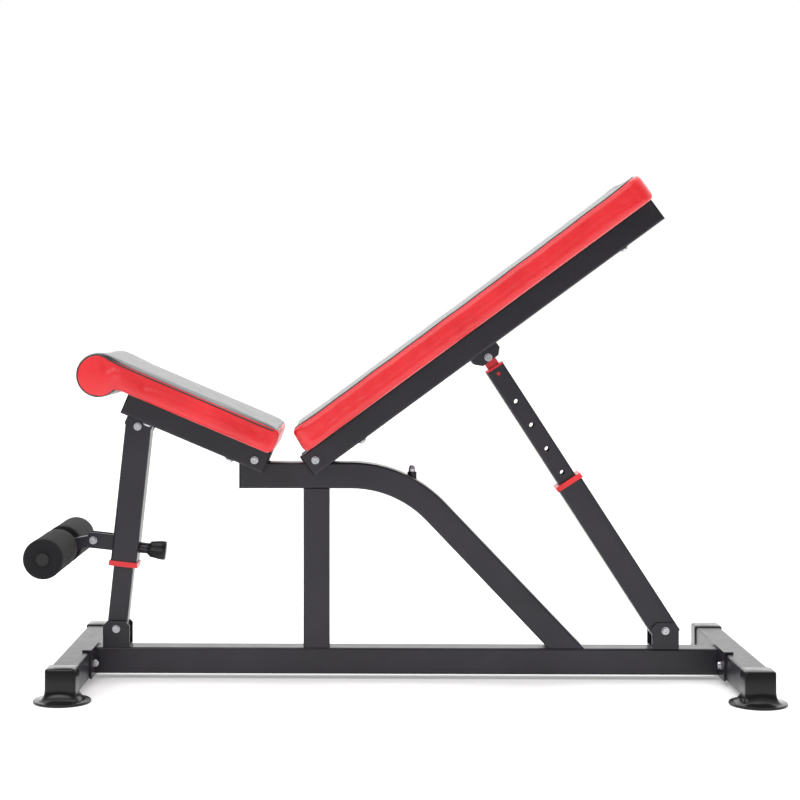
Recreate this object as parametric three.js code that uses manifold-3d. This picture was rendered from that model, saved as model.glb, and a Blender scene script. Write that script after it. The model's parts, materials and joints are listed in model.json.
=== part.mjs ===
// Adjustable weight bench: a welded steel base, a hinged backrest on a telescoping
// strut, a hinged seat on a telescoping front post, and a foam roller leg hold-down.
// Millimetres, +Z up. The seat and rollers point to -X. The origin is on the floor
// under the middle of the object.
import * as THREE from 'three';
import { mergeVertices } from 'three/addons/utils/BufferGeometryUtils.js';
import Module from 'manifold-3d';

const wasm = await Module();
wasm.setup();

// ---- Driving dimensions -------------------------------------------------------
const GAP = 0.3; // between pieces that touch
const TUBE = 50; // outer side of the main square tube
const WALL = 2;
const CORNER = 4; // outside corner radius of a square tube
const INNER = 38; // outer side of the sliding tubes
const BOLT_R = 4;
const HOLE_R = 4.5;
const PLATE = 4;

const BEAM_Z = 10; // underside of the base beam
const BEAM_TOP = BEAM_Z + TUBE;
const FRONT_X = -538.5; // centre lines of the two floor stabilizers
const REAR_X = 704.7;
const FOOT_END = 260; // half the length over the foot caps
const PLATE_HALF = 80; // half the width of the stabilizer plates
const PLATE_BOLT_Y = 55;
const FLANGE_R = 52; // round floor flange of a foot cap

const POST_X = -87.8; // centre post
const BAR_Z = 389; // centre line of the level part of the top bar
const BAR_LEFT = -232.6;
const BEND_X = -21.5; // where the bend starts
const STOP_X = 95.2;
const BEND_R = 223;
const BEND_ANGLE = THREE.MathUtils.degToRad(46.3);

const BACK_PIVOT = [-89.2, 420.2];
const SEAT_PIVOT = [-204.6, 420.2];
const STRUT_FOOT = [575.5, 95];
const POST_FOOT = [-470.9, 95];
const INCLINE = THREE.MathUtils.degToRad(36.3);
const SEAT_TILT = THREE.MathUtils.degToRad(22.9);

const RAIL_IN = 30.3; // inner and outer faces of the pad rails
const RAIL_OUT = 52;
const RAIL_DEPTH = 45;
const PAD_HALF = 150;
const BOARD = 12; // plywood under a pad

const BACK_RAIL = [-18, 800];
const BACK_PAD = [-2, 798];
const BACK_PAD_Z = 24.8;
const BACK_PAD_THICK = 48;
const STRUT_TOP = [380, -38]; // in the backrest's own frame
const SEAT_RAIL = [-267, 22];
const SEAT_RAIL_BOTTOM = -17;
const SEAT_PAD_REAR = 26.5;
const SEAT_PAD_Z = [29.3, 78.8];
const ROLL = { x: -324.9, z: 39.3, r: 42.5 }; // rolled front of the seat pad
const POST_TOP = [-231, -30]; // in the seat's own frame

const STRUT_OUTER_LENGTH = 330;
const STRUT_INNER = [250, 593]; // ends of the sliding tube, measured from the foot pivot
const STRUT_CAP = 4; // thickness of the cap on the sliding tube
const RIVET_BELOW_EYE = 37.5;
const PIN_PITCH = 53.8;
const COLLAR = 10; // length of a collar
const KNOB_BELOW_COLLAR = 27;
const POST_OUTER_LENGTH = 260;
const POST_INNER_TOP = 285;
const POST_KNOB_ABOVE_COLLAR = 27;

const ARM_BOLT = [-516.4, 263.1];
const AXLE = [-582, 249.3];
const AXLE_R = 8;
const FOAM_R = 37;
const FOAM_Y = [24, 190];

// ---- Materials ----------------------------------------------------------------
function finish(color, roughness, metalness) {
  return new THREE.MeshStandardMaterial({ color, roughness, metalness });
}
const paint = finish(0x3c3a40, 0.5, 0.3);
const moulded = finish(0x1b1b1d, 0.35, 0);
const redPlastic = finish(0xd8232c, 0.4, 0);
const zinc = finish(0xb9bcc0, 0.3, 0.9);
const foam = finish(0x1c1c1f, 0.95, 0);
const vinyl = finish(0xd9262e, 0.45, 0);
const plywood = finish(0xb58d5c, 0.8, 0);

// ---- Solids -------------------------------------------------------------------
function toSolid(geometry) {
  const bare = geometry.clone();
  bare.deleteAttribute('normal');
  bare.deleteAttribute('uv');
  const merged = mergeVertices(bare, 1e-4);
  return new wasm.Manifold(new wasm.Mesh({
    numProp: 3,
    vertProperties: Float32Array.from(merged.attributes.position.array),
    triVerts: Uint32Array.from(merged.index.array),
  }));
}

function toGeometry(solid) {
  const mesh = solid.getMesh();
  const geometry = new THREE.BufferGeometry();
  geometry.setAttribute('position', new THREE.BufferAttribute(mesh.vertProperties, 3));
  geometry.setIndex(new THREE.BufferAttribute(mesh.triVerts, 1));
  geometry.computeVertexNormals();
  return geometry;
}

function block([x0, x1], [y0, y1], [z0, z1]) {
  const geometry = new THREE.BoxGeometry(x1 - x0, y1 - y0, z1 - z0);
  geometry.translate((x0 + x1) / 2, (y0 + y1) / 2, (z0 + z1) / 2);
  return toSolid(geometry);
}

// Turns a shape made along +Z so that it lies along the named axis.
function layAlong(geometry, axis) {
  if (axis === 'x') geometry.rotateY(Math.PI / 2);
  if (axis === 'y') geometry.rotateX(-Math.PI / 2);
  return geometry;
}

// A round bar along an axis, from start to end, through the point (x, y, z).
function rod(axis, radius, start, end, [x, y, z], sides = 20) {
  const geometry = new THREE.CylinderGeometry(radius, radius, end - start, sides);
  geometry.rotateX(Math.PI / 2);
  geometry.translate(0, 0, (start + end) / 2);
  layAlong(geometry, axis);
  geometry.translate(x, y, z);
  return toSolid(geometry);
}

function roundedRectangle(width, height, radius) {
  const w = width / 2;
  const h = height / 2;
  const shape = new THREE.Shape();
  shape.moveTo(-w + radius, -h);
  shape.lineTo(w - radius, -h);
  shape.absarc(w - radius, -h + radius, radius, -Math.PI / 2, 0);
  shape.lineTo(w, h - radius);
  shape.absarc(w - radius, h - radius, radius, 0, Math.PI / 2);
  shape.lineTo(-w + radius, h);
  shape.absarc(-w + radius, h - radius, radius, Math.PI / 2, Math.PI);
  shape.lineTo(-w, -h + radius);
  shape.absarc(-w + radius, -h + radius, radius, Math.PI, Math.PI * 1.5);
  return shape;
}

function rectangleHole(width, height) {
  const w = width / 2;
  const h = height / 2;
  const points = [[-w, -h], [-w, h], [w, h], [w, -h]];
  return new THREE.Path(points.map(([x, y]) => new THREE.Vector2(x, y)));
}

function tubeShape(width, height = width) {
  const shape = roundedRectangle(width, height, CORNER);
  shape.holes.push(rectangleHole(width - 2 * WALL, height - 2 * WALL));
  return shape;
}

// A hollow rectangular tube along an axis, from start to end, centred on (x, y, z).
function tube(axis, [width, height], start, end, [x, y, z]) {
  const geometry = new THREE.ExtrudeGeometry(tubeShape(width, height), {
    depth: end - start, bevelEnabled: false, curveSegments: 2,
  });
  geometry.translate(0, 0, start);
  layAlong(geometry, axis);
  geometry.translate(x, y, z);
  return toSolid(geometry);
}

// An outline in the XZ plane, thickened from y0 to y1.
function slab(outline, y0, y1, curveSegments = 6) {
  const shape = Array.isArray(outline)
    ? new THREE.Shape(outline.map(([x, z]) => new THREE.Vector2(x, z)))
    : outline;
  const geometry = new THREE.ExtrudeGeometry(shape, {
    depth: y1 - y0, bevelEnabled: false, curveSegments,
  });
  geometry.rotateX(Math.PI / 2);
  geometry.translate(0, y1, 0);
  return toSolid(geometry);
}

// A hexagon head and nut on one shank, along an axis. The grip is [start, end].
function bolt(axis, [start, end], centre, headRadius = 7.5) {
  const head = rod(axis, headRadius, start - 5.5, start - GAP, centre, 6);
  const nut = rod(axis, headRadius, end + GAP, end + 6.5, centre, 6);
  const shank = rod(axis, BOLT_R, start - 2, end + 9, centre);
  return head.add(nut).add(shank);
}

function lathe(points, segments) {
  const profile = points.map(([r, z]) => new THREE.Vector2(r, z));
  const geometry = new THREE.LatheGeometry(profile, segments);
  geometry.rotateX(Math.PI / 2);
  return geometry;
}

const bench = new THREE.Group();

function addPiece(group, name, solid, material) {
  const mesh = new THREE.Mesh(toGeometry(solid), material);
  mesh.name = name;
  group.add(mesh);
}

function pivotGroup([x, z], turn) {
  const group = new THREE.Group();
  group.position.set(x, 0, z);
  group.rotation.y = turn;
  bench.add(group);
  return group;
}

// ---- Floor frame --------------------------------------------------------------
// A moulded cap over the end of a stabilizer, flaring into a round floor flange.
function footCap(x, side) {
  const centreY = FOOT_END - 25;
  const outline = [[0, 0], [FLANGE_R, 0], [FLANGE_R, 4]];
  for (let step = 0; step <= 5; step += 1) {
    const angle = (step / 5) * (Math.PI / 2);
    outline.push([FLANGE_R - 3 - 21 * Math.sin(angle), 26 - 21 * Math.cos(angle)]);
  }
  outline.push([0, 26]);
  const skirt = lathe(outline, 32);
  skirt.translate(x, side * centreY, 0);
  const ends = [side * (FOOT_END - 48), side * FOOT_END].sort((a, b) => a - b);
  const sleeve = new THREE.ExtrudeGeometry(roundedRectangle(56, 60, 5), {
    depth: 48, bevelEnabled: false, curveSegments: 2,
  });
  layAlong(sleeve, 'y');
  sleeve.translate(x, ends[0], 33);
  const pocketHalf = TUBE / 2 + GAP;
  const pocketEnds = [side * 150, side * (FOOT_END - 4 + GAP)].sort((a, b) => a - b);
  const pocket = block([x - pocketHalf, x + pocketHalf], pocketEnds,
    [BEAM_Z - GAP, BEAM_TOP + GAP]);
  return toSolid(skirt).add(toSolid(sleeve)).subtract(pocket);
}

// One stabilizer with its welded plate, bolts and caps. The beam lies towards `inward`.
function addStabilizer(end, x, inward) {
  const face = x + inward * (TUBE / 2);
  const plateFar = face + inward * PLATE;
  const outer = x - inward * (TUBE / 2);
  const lipEnd = face - inward * 14;
  const plateTop = BEAM_TOP + GAP + PLATE;
  const near = face + inward * GAP;
  const tubeSolid = tube('y', [TUBE, TUBE], -(FOOT_END - 4), FOOT_END - 4, [x, 0, 35]);
  const outline = [[plateFar, BEAM_Z], [plateFar, plateTop], [lipEnd, plateTop],
    [lipEnd, BEAM_TOP + GAP], [near, BEAM_TOP + GAP], [near, BEAM_Z]];
  let plate = slab(inward > 0 ? outline.reverse() : outline, -PLATE_HALF, PLATE_HALF);
  let stabilizer = tubeSolid;
  const grip = [Math.min(outer, plateFar), Math.max(outer, plateFar)];
  for (const side of [-1, 1]) {
    const centre = [0, side * PLATE_BOLT_Y, 35];
    const hole = rod('x', HOLE_R, grip[0] - 5, grip[1] + 5, centre);
    plate = plate.subtract(hole);
    stabilizer = stabilizer.subtract(hole);
    const place = side < 0 ? 'near' : 'far';
    addPiece(bench, `${end}_plate_bolt_${place}`, bolt('x', grip, centre), zinc);
    addPiece(bench, `${end}_foot_${place}`, footCap(x, side), moulded);
  }
  addPiece(bench, `${end}_stabilizer`, stabilizer, paint);
  addPiece(bench, `${end}_plate`, plate, paint);
}

function addFloorFrame() {
  addStabilizer('front', FRONT_X, 1);
  addStabilizer('rear', REAR_X, -1);
  const reach = TUBE / 2 + PLATE + GAP;
  addPiece(bench, 'base_beam',
    tube('x', [TUBE, TUBE], FRONT_X + reach, REAR_X - reach, [0, 0, 35]), paint);
}

// ---- Upright frame ------------------------------------------------------------
// The top bar: level, then bent down to the base beam.
function topBar() {
  const level = tube('x', [TUBE, TUBE], BAR_LEFT, BEND_X + 0.1, [0, 0, BAR_Z]);
  const centreZ = BAR_Z - BEND_R;
  class Bend extends THREE.Curve {
    getPoint(t, target = new THREE.Vector3()) {
      const angle = t * BEND_ANGLE;
      return target.set(BEND_X + BEND_R * Math.sin(angle), 0, centreZ + BEND_R * Math.cos(angle));
    }
  }
  const bend = new THREE.ExtrudeGeometry(tubeShape(TUBE), {
    steps: 12, extrudePath: new Bend(), curveSegments: 2,
  });
  const slope = new THREE.ExtrudeGeometry(tubeShape(TUBE), {
    depth: 480, bevelEnabled: false, curveSegments: 2,
  });
  slope.rotateY(Math.PI / 2 + BEND_ANGLE);
  slope.translate(BEND_X + BEND_R * Math.sin(BEND_ANGLE), 0,
    centreZ + BEND_R * Math.cos(BEND_ANGLE));
  const below = block([-1000, 1000], [-100, 100], [-500, BEAM_TOP + GAP]);
  return level.add(toSolid(bend)).add(toSolid(slope)).subtract(below);
}

// A saddle welded on the top bar that carries a pivot bolt between the rails.
function saddle([x, z]) {
  const half = 11;
  const base = BAR_Z + TUBE / 2 + GAP;
  const shape = new THREE.Shape();
  shape.moveTo(x - half, base);
  shape.lineTo(x + half, base);
  shape.lineTo(x + half, z);
  shape.absarc(x, z, half, 0, Math.PI);
  const body = slab(shape, -29.5, 29.5);
  return body.subtract(rod('y', HOLE_R, -40, 40, [x, 0, z]));
}

// A channel bracket on the beam with two lugs that carry a foot pivot bolt.
function footBracket([x, z], outside, inside) {
  const half = 25.5;
  const base = BEAM_TOP + GAP;
  const top = 110;
  const chamfer = 9;
  const outline = [[x - half, base], [x + half, base], [x + half, top - chamfer],
    [x + half - chamfer, top], [x - half + chamfer, top], [x - half, top - chamfer]];
  return slab(outline, -outside, outside)
    .subtract(block([x - 40, x + 40], [-inside, inside], [base + 3, 200]))
    .subtract(rod('y', HOLE_R, -60, 60, [x, 0, z]));
}

// A stop boss standing on the outside of the bend, shaped to it, and its domed screw.
function addStop() {
  const reach = BEND_R + TUBE / 2;
  const centreZ = BAR_Z - BEND_R;
  const surface = centreZ + Math.sqrt(reach ** 2 - (STOP_X - BEND_X) ** 2);
  const bossTop = surface + 10;
  const bar = rod('y', reach + 0.5, -40, 40, [BEND_X, 0, centreZ], 160);
  addPiece(bench, 'stop_boss', rod('z', 9, surface - 15, bossTop, [STOP_X, 0, 0])
    .subtract(bar).subtract(rod('z', HOLE_R, 0, 500, [STOP_X, 0, 0])), moulded);
  const dome = lathe([[0, -6], [BOLT_R, -6], [BOLT_R, GAP], [7, GAP], [7, 5],
    [6.4, 9], [4.4, 12], [0, 13]], 20);
  dome.translate(STOP_X, 0, bossTop);
  addPiece(bench, 'stop_screw', toSolid(dome).subtract(bar), zinc);
}

function addUprightFrame() {
  addPiece(bench, 'centre_post',
    tube('z', [TUBE, TUBE], BEAM_TOP + GAP, BAR_Z - TUBE / 2 - GAP, [POST_X, 0, 0]), paint);
  addPiece(bench, 'top_bar', topBar(), paint);
  const plug = block([BAR_LEFT - 3, BAR_LEFT - GAP], [-TUBE / 2, TUBE / 2],
    [BAR_Z - TUBE / 2, BAR_Z + TUBE / 2]);
  const insertHalf = TUBE / 2 - WALL - GAP;
  const insert = block([BAR_LEFT - 1, BAR_LEFT + 15], [-insertHalf, insertHalf],
    [BAR_Z - insertHalf, BAR_Z + insertHalf]);
  addPiece(bench, 'top_bar_cap', plug.add(insert), moulded);
  addPiece(bench, 'back_pivot_saddle', saddle(BACK_PIVOT), paint);
  addPiece(bench, 'seat_pivot_saddle', saddle(SEAT_PIVOT), paint);
  addPiece(bench, 'front_bracket', footBracket(POST_FOOT, 25, 21), paint);
  addPiece(bench, 'rear_bracket', footBracket(STRUT_FOOT, 29.5, 25.5), paint);
  const pivots = [['back_pivot_bolt', BACK_PIVOT, RAIL_OUT], ['seat_pivot_bolt', SEAT_PIVOT,
    RAIL_OUT], ['post_foot_bolt', POST_FOOT, 25], ['strut_foot_bolt', STRUT_FOOT, 29.5]];
  for (const [name, [x, z], half] of pivots) {
    addPiece(bench, name, bolt('y', [-half, half], [x, 0, z]), zinc);
  }
  addStop();
}

// ---- Pad frames ---------------------------------------------------------------
// A rail along local X with a lug welded to its inner face. `side` is -1 or 1.
function rail(side, [x0, x1], bottom, lugX, lugDepth, lugHalf) {
  const middle = side * (RAIL_IN + RAIL_OUT) / 2;
  const width = RAIL_OUT - RAIL_IN;
  const bar = tube('x', [RAIL_DEPTH, width], x0, x1, [0, middle, bottom + RAIL_DEPTH / 2]);
  const lugFaces = [side * (RAIL_IN - PLATE), side * (RAIL_IN + 0.5)].sort((a, b) => a - b);
  const low = bottom - lugDepth;
  const chamfer = 11;
  const outline = [[lugX - lugHalf, bottom + 18], [lugX - lugHalf, low + chamfer],
    [lugX - lugHalf + chamfer, low], [lugX + lugHalf - chamfer, low],
    [lugX + lugHalf, low + chamfer], [lugX + lugHalf, bottom + 18]];
  return bar.add(slab(outline, lugFaces[0], lugFaces[1]))
    .subtract(rod('y', HOLE_R, -90, 90, [0, 0, 0]));
}

// A short bolt through one lug. It stops short of the eye between the lugs.
function lugBolt(side, [x, z]) {
  const inner = side * (RAIL_IN - PLATE);
  const outer = side * RAIL_IN;
  const shankEnds = [inner - side * 1, outer + side * 3].sort((a, b) => a - b);
  const headEnds = [outer + side * (0.5 + GAP), outer + side * 7.5].sort((a, b) => a - b);
  return rod('y', BOLT_R, shankEnds[0], shankEnds[1], [x, 0, z])
    .add(rod('y', 7.5, headEnds[0], headEnds[1], [x, 0, z], 6));
}

function addRails(group, prefix, ends, bottom, [lugX, lugZ], lugDepth, lugHalf) {
  for (const side of [-1, 1]) {
    const place = side < 0 ? 'near' : 'far';
    const solid = rail(side, ends, bottom, lugX, lugDepth, lugHalf)
      .subtract(rod('y', HOLE_R, -29.9 - 4, 29.9 + 4, [lugX, 0, lugZ]));
    addPiece(group, `${prefix}_rail_${place}`, solid, paint);
    addPiece(group, `${prefix}_lug_bolt_${place}`, lugBolt(side, [lugX, lugZ]), zinc);
  }
}

function addCrossPlates(group, prefix, top, places) {
  const half = RAIL_IN - GAP;
  for (const [name, x] of places) {
    addPiece(group, `${prefix}_cross_plate_${name}`,
      block([x - 25, x + 25], [-half, half], [top - PLATE, top]), paint);
  }
}

function addBackrest() {
  const group = pivotGroup(BACK_PIVOT, -INCLINE);
  const railTop = RAIL_DEPTH / 2;
  addRails(group, 'back', BACK_RAIL, -railTop, STRUT_TOP, 23, 29);
  addCrossPlates(group, 'back', railTop, [['lower', 94], ['upper', 708]]);
  const [x0, x1] = BACK_PAD;
  const board = [[x0 + 20, x1 - 20], [-130, 130], [railTop + GAP, railTop + GAP + BOARD]];
  addPiece(group, 'back_board', block(...board), plywood);
  const outline = roundedRectangle(x1 - x0, 2 * PAD_HALF, 32);
  const pad = new THREE.ExtrudeGeometry(outline, {
    depth: BACK_PAD_THICK, bevelEnabled: false, curveSegments: 3,
  });
  pad.translate((x0 + x1) / 2, 0, BACK_PAD_Z);
  const pocket = board.map(([low, high]) => [low - GAP, high + GAP]);
  addPiece(group, 'back_pad', toSolid(pad).subtract(block(...pocket)), vinyl);
}

function addSeat() {
  const group = pivotGroup(SEAT_PIVOT, SEAT_TILT);
  const railTop = SEAT_RAIL_BOTTOM + RAIL_DEPTH;
  addRails(group, 'seat', SEAT_RAIL, SEAT_RAIL_BOTTOM, POST_TOP, 27, 26);
  addCrossPlates(group, 'seat', railTop, [['rear', -45], ['front', -165]]);
  const board = [[-255, 10], [-130, 130], [railTop + GAP, railTop + GAP + BOARD]];
  addPiece(group, 'seat_board', block(...board), plywood);
  const start = Math.asin((SEAT_PAD_Z[0] - ROLL.z) / ROLL.r);
  const shape = new THREE.Shape();
  shape.moveTo(SEAT_PAD_REAR, SEAT_PAD_Z[1]);
  shape.lineTo(SEAT_PAD_REAR, SEAT_PAD_Z[0]);
  shape.lineTo(ROLL.x + ROLL.r * Math.cos(start), SEAT_PAD_Z[0]);
  shape.absarc(ROLL.x, ROLL.z, ROLL.r, start, -Math.PI * 1.5, true);
  const pocket = board.map(([low, high]) => [low - GAP, high + GAP]);
  addPiece(group, 'seat_pad',
    slab(shape, -PAD_HALF, PAD_HALF, 10).subtract(block(...pocket)), vinyl);
}

// ---- Telescoping strut and post -----------------------------------------------
// A moulded collar on the mouth of a tube along local Z.
function collar(mouth, direction) {
  const ends = [mouth + direction * GAP, mouth + direction * COLLAR].sort((a, b) => a - b);
  const half = 27.5;
  const hole = INNER / 2 + GAP;
  return block([-half, half], [-half, half], ends)
    .subtract(block([-hole, hole], [-hole, hole], [ends[0] - 1, ends[1] + 1]));
}

// A sprung pull-pin: pin, neck and ribbed knob as one turned piece along +Z.
function pullPin() {
  const profile = [[0, INNER / 2 + GAP], [BOLT_R, INNER / 2 + GAP], [BOLT_R, 41.6], [12, 41.6],
    [12, 45], [18, 49], [18, 66], [14, 76], [0, 77]];
  return lathe(profile, 24);
}

// The welded housing that guides a pull-pin, and the hole through the tube wall.
function addHousing(solid, axis, centre) {
  return solid.add(rod(axis, 10.5, TUBE / 2 - 1, TUBE / 2 + 16, centre))
    .subtract(rod(axis, HOLE_R, TUBE / 2 - 8, TUBE / 2 + 30, centre));
}

function addStrut() {
  const top = new THREE.Vector2(
    BACK_PIVOT[0] + STRUT_TOP[0] * Math.cos(INCLINE) - STRUT_TOP[1] * Math.sin(INCLINE),
    BACK_PIVOT[1] + STRUT_TOP[0] * Math.sin(INCLINE) + STRUT_TOP[1] * Math.cos(INCLINE));
  const run = top.clone().sub(new THREE.Vector2(...STRUT_FOOT));
  const group = pivotGroup(STRUT_FOOT, -Math.atan2(-run.x, run.y));
  const knobZ = STRUT_OUTER_LENGTH - KNOB_BELOW_COLLAR;
  const outer = tube('z', [TUBE, TUBE], -15, STRUT_OUTER_LENGTH, [0, 0, 0])
    .subtract(rod('y', HOLE_R, -40, 40, [0, 0, 0]));
  addPiece(group, 'strut_outer', addHousing(outer, 'y', [0, 0, knobZ]), paint);
  addPiece(group, 'strut_collar', collar(STRUT_OUTER_LENGTH, 1), redPlastic);
  let inner = tube('z', [INNER, INNER], STRUT_INNER[0], STRUT_INNER[1], [0, 0, 0]);
  for (let hole = 0; hole < 5; hole += 1) {
    const z = knobZ + hole * PIN_PITCH;
    inner = inner.subtract(rod('y', 5, -40, 40, [0, 0, z], 16));
  }
  const eyeZ = run.length();
  inner = inner.subtract(rod('y', 4, -40, 0, [0, 0, eyeZ - RIVET_BELOW_EYE], 16));
  addPiece(group, 'strut_inner', inner, paint);
  const plugHalf = INNER / 2 - WALL - GAP;
  const eye = new THREE.Shape();
  const capZ = STRUT_INNER[1] + GAP;
  eye.moveTo(-12, capZ + 1);
  eye.lineTo(12, capZ + 1);
  eye.lineTo(12, eyeZ);
  eye.absarc(0, eyeZ, 12, 0, Math.PI);
  const plug = block([-plugHalf, plugHalf], [-plugHalf, plugHalf],
    [STRUT_INNER[1] - 25, capZ + 1]);
  const cap = block([-INNER / 2, INNER / 2], [-INNER / 2, INNER / 2], [capZ, capZ + STRUT_CAP]);
  addPiece(group, 'strut_eye', slab(eye, -12, 12).add(cap).add(plug)
    .subtract(rod('y', HOLE_R, -40, 40, [0, 0, eyeZ])), redPlastic);
  const knob = layAlong(pullPin(), 'y');
  knob.translate(0, 0, knobZ);
  addPiece(group, 'strut_knob', toSolid(knob), moulded);
}

function addFrontPost() {
  const top = new THREE.Vector2(
    SEAT_PIVOT[0] + POST_TOP[0] * Math.cos(SEAT_TILT) + POST_TOP[1] * Math.sin(SEAT_TILT),
    SEAT_PIVOT[1] - POST_TOP[0] * Math.sin(SEAT_TILT) + POST_TOP[1] * Math.cos(SEAT_TILT));
  const run = top.clone().sub(new THREE.Vector2(...POST_FOOT));
  const lean = Math.atan2(run.x, run.y);
  const group = pivotGroup(POST_FOOT, lean);
  const length = run.length();
  const mouth = length - POST_OUTER_LENGTH;
  const inner = tube('z', [INNER, INNER], -12, POST_INNER_TOP, [0, 0, 0])
    .subtract(rod('y', HOLE_R, -40, 40, [0, 0, 0]));
  addPiece(group, 'post_inner', inner, paint);
  addPiece(group, 'post_collar', collar(mouth, -1), redPlastic);
  const knobZ = mouth + POST_KNOB_ABOVE_COLLAR;
  const outer = tube('z', [TUBE, TUBE], mouth, length + 12, [0, 0, 0]);
  const bolted = local(ARM_BOLT, lean);
  const welded = addHousing(outer, 'x', [0, 0, knobZ]);
  addPiece(group, 'post_outer', welded.add(stub(bolted)), paint);
  const knob = layAlong(pullPin(), 'x');
  knob.translate(0, 0, knobZ);
  addPiece(group, 'post_knob', toSolid(knob), moulded);
  addHoldDown(group, bolted, local(AXLE, lean));
}

// A point of the drawing in the front post's own frame.
function local([x, z], lean) {
  const dx = x - POST_FOOT[0];
  const dz = z - POST_FOOT[1];
  return [dx * Math.cos(lean) - dz * Math.sin(lean), dx * Math.sin(lean) + dz * Math.cos(lean)];
}

// Two cheek plates welded to the post, joined by a web, that hold the leg arm.
function stub([x, z]) {
  const outline = [[-TUBE / 2 + 1, z - 15], [-TUBE / 2 + 1, z + 15], [x - 8, z + 15],
    [x - 12, z + 9], [x - 12, z - 9], [x - 8, z - 15]];
  return slab(outline, -14.3, 14.3)
    .subtract(block([x - 20, -TUBE / 2 - 3], [-10.3, 10.3], [z - 30, z + 30]))
    .subtract(rod('y', HOLE_R, -40, 40, [x, 0, z]));
}

// The leg hold-down: a bolted arm, an axle, two foam rollers and their end plugs.
function addHoldDown(group, [bx, bz], [ax, az]) {
  const reach = Math.hypot(ax - bx, az - bz);
  const drop = Math.atan2(bz - az, bx - ax);
  const arm = new THREE.Shape();
  arm.moveTo(0, -10);
  arm.absarc(0, 0, 10, -Math.PI / 2, Math.PI / 2);
  arm.lineTo(-reach, 11);
  arm.absarc(-reach, 0, 12, Math.PI / 2, Math.PI * 1.5);
  const armGroup = new THREE.Group();
  armGroup.position.set(bx, 0, bz);
  armGroup.rotation.y = -drop;
  group.add(armGroup);
  addPiece(armGroup, 'leg_arm', slab(arm, -10, 10)
    .subtract(rod('y', HOLE_R, -20, 20, [0, 0, 0]))
    .subtract(rod('y', AXLE_R + GAP, -20, 20, [-reach, 0, 0])), paint);
  addPiece(armGroup, 'leg_arm_bolt', bolt('y', [-14.3, 14.3], [0, 0, 0]), zinc);
  const centre = [-reach, 0, 0];
  const axleEnd = FOAM_Y[1] - 4;
  const axle = rod('y', AXLE_R, -axleEnd, axleEnd, centre, 24)
    .subtract(rod('y', AXLE_R - 2, -axleEnd - 5, axleEnd + 5, centre, 24));
  addPiece(armGroup, 'roller_axle', axle, zinc);
  for (const side of [-1, 1]) {
    const place = side < 0 ? 'near' : 'far';
    const ends = FOAM_Y.map((y) => side * y).sort((a, b) => a - b);
    const roller = rod('y', FOAM_R, ends[0], ends[1], centre, 32)
      .subtract(rod('y', AXLE_R + GAP, ends[0] - 5, ends[1] + 5, centre, 24));
    addPiece(armGroup, `foam_roller_${place}`, roller, foam);
    const cap = [side * (FOAM_Y[1] + GAP), side * (FOAM_Y[1] + 2.5)].sort((a, b) => a - b);
    const stem = [side * (FOAM_Y[1] - 25), side * (FOAM_Y[1] + 2)].sort((a, b) => a - b);
    addPiece(armGroup, `roller_plug_${place}`, rod('y', 12, cap[0], cap[1], centre, 24)
      .add(rod('y', AXLE_R - 2 - GAP, stem[0], stem[1], centre, 16)), moulded);
  }
}

addFloorFrame();
addUprightFrame();
addBackrest();
addSeat();
addStrut();
addFrontPost();

// Centre the object over the origin.
bench.updateMatrixWorld(true);
const bounds = new THREE.Box3().setFromObject(bench, true);
bench.position.x = -(bounds.min.x + bounds.max.x) / 2;

export default bench;
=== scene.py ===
"""Looks for the adjustable weight bench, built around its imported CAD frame. Metres."""
import json
import math

import bmesh
import bpy
from mathutils import Matrix, Vector
from mathutils.bvhtree import BVHTree

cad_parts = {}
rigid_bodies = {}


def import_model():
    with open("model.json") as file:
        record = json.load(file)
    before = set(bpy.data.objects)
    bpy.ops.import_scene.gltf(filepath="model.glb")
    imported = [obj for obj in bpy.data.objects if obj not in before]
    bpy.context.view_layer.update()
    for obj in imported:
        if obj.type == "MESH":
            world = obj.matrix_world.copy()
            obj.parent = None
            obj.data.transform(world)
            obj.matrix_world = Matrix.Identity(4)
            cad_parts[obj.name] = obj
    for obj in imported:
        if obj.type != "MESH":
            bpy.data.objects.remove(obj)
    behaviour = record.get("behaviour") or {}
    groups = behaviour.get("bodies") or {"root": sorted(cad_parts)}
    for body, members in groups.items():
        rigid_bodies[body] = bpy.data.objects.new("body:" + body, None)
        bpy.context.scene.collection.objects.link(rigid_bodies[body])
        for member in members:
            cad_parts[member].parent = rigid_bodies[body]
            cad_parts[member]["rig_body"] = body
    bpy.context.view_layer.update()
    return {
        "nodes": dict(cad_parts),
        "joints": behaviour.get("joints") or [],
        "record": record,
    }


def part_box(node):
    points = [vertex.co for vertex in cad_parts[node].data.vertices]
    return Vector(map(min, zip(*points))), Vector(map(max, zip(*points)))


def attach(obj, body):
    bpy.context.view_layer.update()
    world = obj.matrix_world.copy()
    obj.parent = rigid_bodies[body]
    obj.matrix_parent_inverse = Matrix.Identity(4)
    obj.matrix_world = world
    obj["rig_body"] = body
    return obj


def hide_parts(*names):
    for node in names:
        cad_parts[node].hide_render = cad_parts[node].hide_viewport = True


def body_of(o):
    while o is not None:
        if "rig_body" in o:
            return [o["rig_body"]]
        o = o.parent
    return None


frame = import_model()
SCENE = bpy.context.scene
JOINTS = {joint["name"]: joint for joint in frame["joints"]}

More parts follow.
